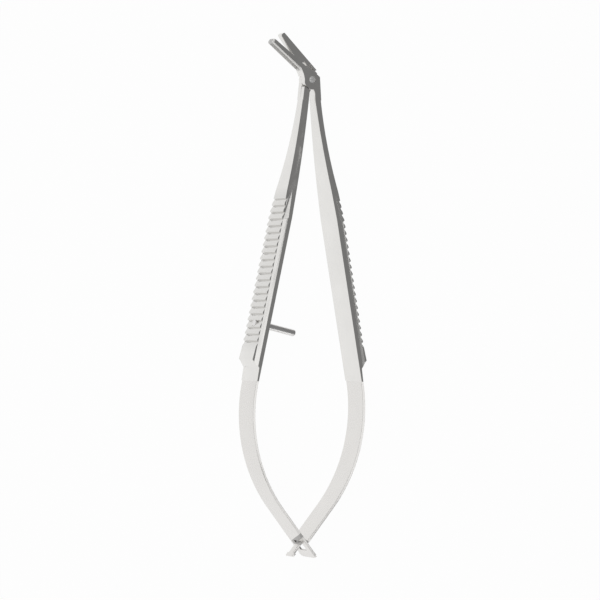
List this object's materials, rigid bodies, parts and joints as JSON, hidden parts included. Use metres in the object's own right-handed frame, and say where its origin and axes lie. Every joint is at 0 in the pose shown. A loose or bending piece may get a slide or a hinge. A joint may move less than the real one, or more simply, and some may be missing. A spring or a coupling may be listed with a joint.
{
  "type": "corneoscleral punch",
  "caption": "Fine eye-surgery punch with crossed halves on a pivot screw, angled slotted jaws, serrated grips, a stop pin and hooked leaf springs.",
  "frame": {"origin": "middle of the bounding box, on the surface that the punch lies on", "axes": "+Y along the instrument towards the jaws, +Z along the pivot screw towards its slotted head; the jaws lean towards -X"},
  "size_m": [0.0282, 0.1098, 0.0064],
  "materials": {
    "satin_steel": "satin",
    "spring_steel": "satin"
  },
  "bodies": {
    "slotted_half": {"slotted_jaw_handle": "satin_steel", "tongued_leaf_spring": "spring_steel"},
    "punch_half": {"punch_jaw_handle": "satin_steel", "pivot_screw": "satin_steel", "stop_pin": "satin_steel", "windowed_leaf_spring": "spring_steel"}
  },
  "joints": [
    {"name": "jaw_pivot", "type": "hinge", "parent": "slotted_half", "child": "punch_half", "pos_m": [0, 0.04553, 0.0032], "axis": [0, 0, 1], "range_deg": [0, 13.6], "stiffness_Nm_per_rad": 0.3, "springref_deg": -2.86, "deforming": ["tongued_leaf_spring", "windowed_leaf_spring"]}
  ]
}
